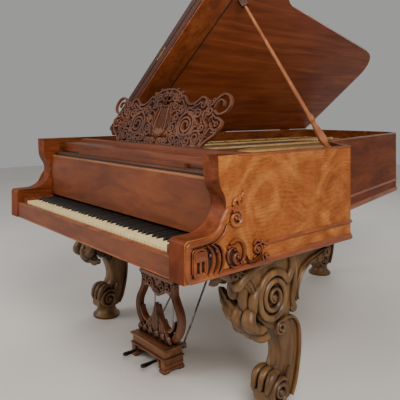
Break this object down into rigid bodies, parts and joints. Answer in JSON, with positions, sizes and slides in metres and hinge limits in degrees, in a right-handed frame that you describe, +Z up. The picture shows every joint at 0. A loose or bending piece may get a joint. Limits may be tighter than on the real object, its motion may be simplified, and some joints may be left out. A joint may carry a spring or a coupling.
{
  "type": "grand piano",
  "caption": "Full-size Victorian grand piano with carved legs, pedal lyre, pierced music desk, propped lid, folding flap, fallboard, keys and pedals.",
  "frame": {"origin": "on the floor, at the middle of the outer box", "axes": "+X from the bass side to the treble side, +Y from the player to the tail, +Z up"},
  "size_m": [1.5422, 2.632, 2.0798],
  "materials": {
    "case_veneer": "french polished burl walnut",
    "frame_wood": "oiled maple and spruce",
    "carved_walnut": "waxed carved walnut",
    "lid_veneer": "french polished walnut",
    "soundboard_spruce": "varnished spruce",
    "gilded_iron": "gold bronzed",
    "steel": "polished",
    "brass": "polished",
    "hammer_felt": "felt on maple",
    "ivory_keys": "ivory faced spruce",
    "ebony_keys": "ebony on spruce"
  },
  "bodies": {
    "case": {"outer_rim": "case_veneer", "inner_rim": "frame_wood", "case_mouldings": "case_veneer", "arm_bass": "case_veneer", "arm_treble": "case_veneer", "arm_carvings": "case_veneer", "key_slip": "case_veneer", "keybed": "frame_wood", "key_blocks": "case_veneer", "case_braces": "frame_wood", "soundboard": "soundboard_spruce", "soundboard_ribs": "frame_wood", "pin_block": "frame_wood", "iron_plate": "gilded_iron", "bridges": "frame_wood", "strings": "steel", "tuning_pins": "steel", "key_frame": "frame_wood", "action_frame": "frame_wood", "hammers": "hammer_felt", "dampers": "hammer_felt", "name_rail": "case_veneer", "desk_runners": "frame_wood", "leg_front_bass": "carved_walnut", "leg_front_treble": "carved_walnut", "leg_rear": "carved_walnut", "lyre_frame": "carved_walnut", "pedal_box": "carved_walnut", "lyre_braces": "steel", "lid_hinges": "brass", "prop_bracket": "brass"},
    "lid": {"lid_panel": "lid_veneer", "lid_cleat": "lid_veneer", "lid_fittings": "brass"},
    "flap": {"lid_flap": "lid_veneer", "flap_hinges": "brass"},
    "prop": {"prop_stick": "carved_walnut"},
    "fallboard": {"fallboard": "case_veneer"},
    "desk_tray": {"desk_tray": "case_veneer"},
    "music_desk": {"music_desk": "carved_walnut"},
    "pedal_soft": {"pedal_soft": "brass"},
    "pedal_sustain": {"pedal_sustain": "brass"},
    "rod_soft": {"rod_soft": "steel"},
    "rod_sustain": {"rod_sustain": "steel"},
    "key_c": {"key_c": "ivory_keys"},
    "key_c_sharp": {"key_c_sharp": "ebony_keys"},
    "key_d": {"key_d": "ivory_keys"},
    "key_d_sharp": {"key_d_sharp": "ebony_keys"},
    "key_e": {"key_e": "ivory_keys"},
    "key_f": {"key_f": "ivory_keys"},
    "key_f_sharp": {"key_f_sharp": "ebony_keys"},
    "key_g": {"key_g": "ivory_keys"},
    "key_g_sharp": {"key_g_sharp": "ebony_keys"},
    "key_a": {"key_a": "ivory_keys"},
    "key_a_sharp": {"key_a_sharp": "ebony_keys"},
    "key_b": {"key_b": "ivory_keys"},
    "bass_naturals": {"bass_naturals": "ivory_keys"},
    "bass_sharps": {"bass_sharps": "ebony_keys"},
    "treble_naturals": {"treble_naturals": "ivory_keys"},
    "treble_sharps": {"treble_sharps": "ebony_keys"}
  },
  "joints": [
    {"name": "lid_hinge", "type": "hinge", "parent": "case", "child": "lid", "pos_m": [-0.734, 0, 1.075], "axis": [0, -1, 0], "range_deg": [0, 30]},
    {"name": "flap_hinge", "type": "hinge", "parent": "lid", "child": "flap", "pos_m": [-0.17887, -0.67, 1.57866], "axis": [0.766, 0, 0.6428], "range_deg": [0, 180]},
    {"name": "prop_fold", "type": "hinge", "parent": "case", "child": "prop", "pos_m": [0.582, -0.26, 1.045], "axis": [-0.5856, -0.6654, -0.463], "range_deg": [0, 76.6]},
    {"name": "fallboard_hinge", "type": "hinge", "parent": "case", "child": "fallboard", "pos_m": [0.015, -1.112, 0.774], "axis": [1, 0, 0], "range_deg": [0, 90]},
    {"name": "desk_slide", "type": "slide", "parent": "case", "child": "desk_tray", "axis": [0, -1, 0], "range_m": [0, 0.06]},
    {"name": "desk_tilt", "type": "hinge", "parent": "desk_tray", "child": "music_desk", "pos_m": [0.015, -0.884, 1.056], "axis": [-1, 0, 0], "range_deg": [0, 69]},
    {"name": "soft_pedal_press", "type": "hinge", "parent": "case", "child": "pedal_soft", "pos_m": [-0.06, -0.86, 0.048], "axis": [1, 0, 0], "range_deg": [0, 5.4], "stiffness_Nm_per_rad": 12, "springref_deg": -8.59},
    {"name": "soft_rod_lift", "type": "slide", "parent": "case", "child": "rod_soft", "axis": [0, 0, 1], "range_m": [0, 0.003]},
    {"name": "sustain_pedal_press", "type": "hinge", "parent": "case", "child": "pedal_sustain", "pos_m": [0.09, -0.86, 0.048], "axis": [1, 0, 0], "range_deg": [0, 5.4], "stiffness_Nm_per_rad": 12, "springref_deg": -8.59},
    {"name": "sustain_rod_lift", "type": "slide", "parent": "case", "child": "rod_sustain", "axis": [0, 0, 1], "range_m": [0, 0.003]},
    {"name": "key_c_press", "type": "hinge", "parent": "case", "child": "key_c", "pos_m": [0.015, -1.08, 0.722], "axis": [1, 0, 0], "range_deg": [0, 2.8], "stiffness_Nm_per_rad": 1, "springref_deg": -2.86},
    {"name": "key_c_sharp_press", "type": "hinge", "parent": "case", "child": "key_c_sharp", "pos_m": [0.015, -1.08, 0.722], "axis": [1, 0, 0], "range_deg": [0, 2.8], "stiffness_Nm_per_rad": 1, "springref_deg": -2.86},
    {"name": "key_d_press", "type": "hinge", "parent": "case", "child": "key_d", "pos_m": [0.015, -1.08, 0.722], "axis": [1, 0, 0], "range_deg": [0, 2.8], "stiffness_Nm_per_rad": 1, "springref_deg": -2.86},
    {"name": "key_d_sharp_press", "type": "hinge", "parent": "case", "child": "key_d_sharp", "pos_m": [0.015, -1.08, 0.722], "axis": [1, 0, 0], "range_deg": [0, 2.8], "stiffness_Nm_per_rad": 1, "springref_deg": -2.86},
    {"name": "key_e_press", "type": "hinge", "parent": "case", "child": "key_e", "pos_m": [0.015, -1.08, 0.722], "axis": [1, 0, 0], "range_deg": [0, 2.8], "stiffness_Nm_per_rad": 1, "springref_deg": -2.86},
    {"name": "key_f_press", "type": "hinge", "parent": "case", "child": "key_f", "pos_m": [0.015, -1.08, 0.722], "axis": [1, 0, 0], "range_deg": [0, 2.8], "stiffness_Nm_per_rad": 1, "springref_deg": -2.86},
    {"name": "key_f_sharp_press", "type": "hinge", "parent": "case", "child": "key_f_sharp", "pos_m": [0.015, -1.08, 0.722], "axis": [1, 0, 0], "range_deg": [0, 2.8], "stiffness_Nm_per_rad": 1, "springref_deg": -2.86},
    {"name": "key_g_press", "type": "hinge", "parent": "case", "child": "key_g", "pos_m": [0.015, -1.08, 0.722], "axis": [1, 0, 0], "range_deg": [0, 2.8], "stiffness_Nm_per_rad": 1, "springref_deg": -2.86},
    {"name": "key_g_sharp_press", "type": "hinge", "parent": "case", "child": "key_g_sharp", "pos_m": [0.015, -1.08, 0.722], "axis": [1, 0, 0], "range_deg": [0, 2.8], "stiffness_Nm_per_rad": 1, "springref_deg": -2.86},
    {"name": "key_a_press", "type": "hinge", "parent": "case", "child": "key_a", "pos_m": [0.015, -1.08, 0.722], "axis": [1, 0, 0], "range_deg": [0, 2.8], "stiffness_Nm_per_rad": 1, "springref_deg": -2.86},
    {"name": "key_a_sharp_press", "type": "hinge", "parent": "case", "child": "key_a_sharp", "pos_m": [0.015, -1.08, 0.722], "axis": [1, 0, 0], "range_deg": [0, 2.8], "stiffness_Nm_per_rad": 1, "springref_deg": -2.86},
    {"name": "key_b_press", "type": "hinge", "parent": "case", "child": "key_b", "pos_m": [0.015, -1.08, 0.722], "axis": [1, 0, 0], "range_deg": [0, 2.8], "stiffness_Nm_per_rad": 1, "springref_deg": -2.86},
    {"name": "bass_naturals_press", "type": "hinge", "parent": "case", "child": "bass_naturals", "pos_m": [0.015, -1.08, 0.722], "axis": [1, 0, 0], "range_deg": [0, 2.8], "stiffness_Nm_per_rad": 23, "springref_deg": -2.86},
    {"name": "bass_sharps_press", "type": "hinge", "parent": "case", "child": "bass_sharps", "pos_m": [0.015, -1.08, 0.722], "axis": [1, 0, 0], "range_deg": [0, 2.8], "stiffness_Nm_per_rad": 16, "springref_deg": -2.86},
    {"name": "treble_naturals_press", "type": "hinge", "parent": "case", "child": "treble_naturals", "pos_m": [0.015, -1.08, 0.722], "axis": [1, 0, 0], "range_deg": [0, 2.8], "stiffness_Nm_per_rad": 22, "springref_deg": -2.86},
    {"name": "treble_sharps_press", "type": "hinge", "parent": "case", "child": "treble_sharps", "pos_m": [0.015, -1.08, 0.722], "axis": [1, 0, 0], "range_deg": [0, 2.8], "stiffness_Nm_per_rad": 15, "springref_deg": -2.86}
  ],
  "couplings": [
    {"joint": "soft_rod_lift", "follows": "soft_pedal_press", "m_per_rad": 0.03},
    {"joint": "sustain_rod_lift", "follows": "sustain_pedal_press", "m_per_rad": 0.03}
  ]
}
